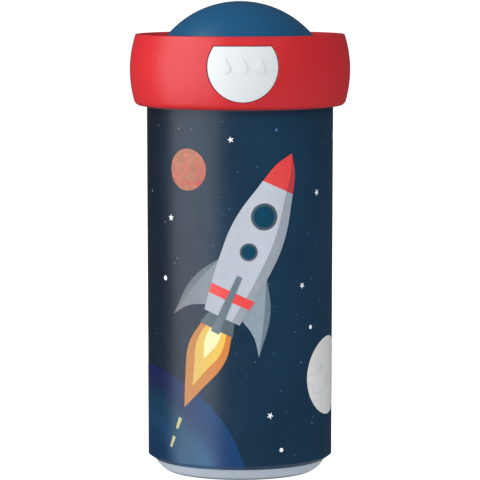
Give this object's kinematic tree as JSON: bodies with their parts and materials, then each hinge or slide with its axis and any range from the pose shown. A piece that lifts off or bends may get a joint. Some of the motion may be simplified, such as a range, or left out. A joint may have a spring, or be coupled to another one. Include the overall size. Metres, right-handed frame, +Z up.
{
  "type": "kids water bottle",
  "caption": "Small round drinking bottle with a space print, a screw-on ring lid, and a pop-up dome valve that a side button releases.",
  "frame": {"origin": "middle of the foot, on the table", "axes": "+Z up along the bottle, +X to the right, and the button on the front faces -Y"},
  "size_m": [0.073, 0.073, 0.156],
  "materials": {
    "cup_plastic": "milky, satin",
    "print": "satin print",
    "silicone": "satin",
    "ring_red": "satin gloss",
    "inner_plastic": "satin",
    "seal_rubber": "matt",
    "spring_steel": "drawn wire",
    "dome_blue": "satin gloss",
    "button_white": "satin gloss"
  },
  "bodies": {
    "cup": {"cup_body": "cup_plastic", "print_film": "print"},
    "gasket": {"lid_gasket": "silicone"},
    "lid": {"cap_ring": "ring_red", "inner_lid": "inner_plastic", "latch_cover": "inner_plastic", "stem_seal": "seal_rubber", "seal_retainer": "inner_plastic", "hub_plug": "inner_plastic", "pop_up_spring": "spring_steel", "button_spring": "spring_steel"},
    "knob": {"dome_cap": "dome_blue", "knob_base": "inner_plastic", "valve_seal": "silicone", "valve_stem": "inner_plastic"},
    "button": {"release_button": "button_white", "latch_plate": "inner_plastic"}
  },
  "joints": [
    {"name": "lid_lift", "type": "slide", "parent": "cup", "child": "gasket", "axis": [0, 0, 1], "range_m": [0, 0.014]},
    {"name": "lid_turn", "type": "hinge", "parent": "gasket", "child": "lid", "pos_m": [0, 0, 0], "axis": [0, 0, 1], "range_deg": [0, 630]},
    {"name": "knob_lift", "type": "slide", "parent": "lid", "child": "knob", "axis": [0, 0, 1], "range_m": [0, 0.005], "deforming": ["pop_up_spring"]},
    {"name": "button_press", "type": "slide", "parent": "lid", "child": "button", "axis": [0, 1, 0], "range_m": [0, 0.0015], "stiffness_N_per_m": 400, "deforming": ["button_spring"]}
  ],
  "couplings": [
    {"joint": "lid_lift", "follows": "lid_turn", "m_per_rad": 0.0012732}
  ]
}
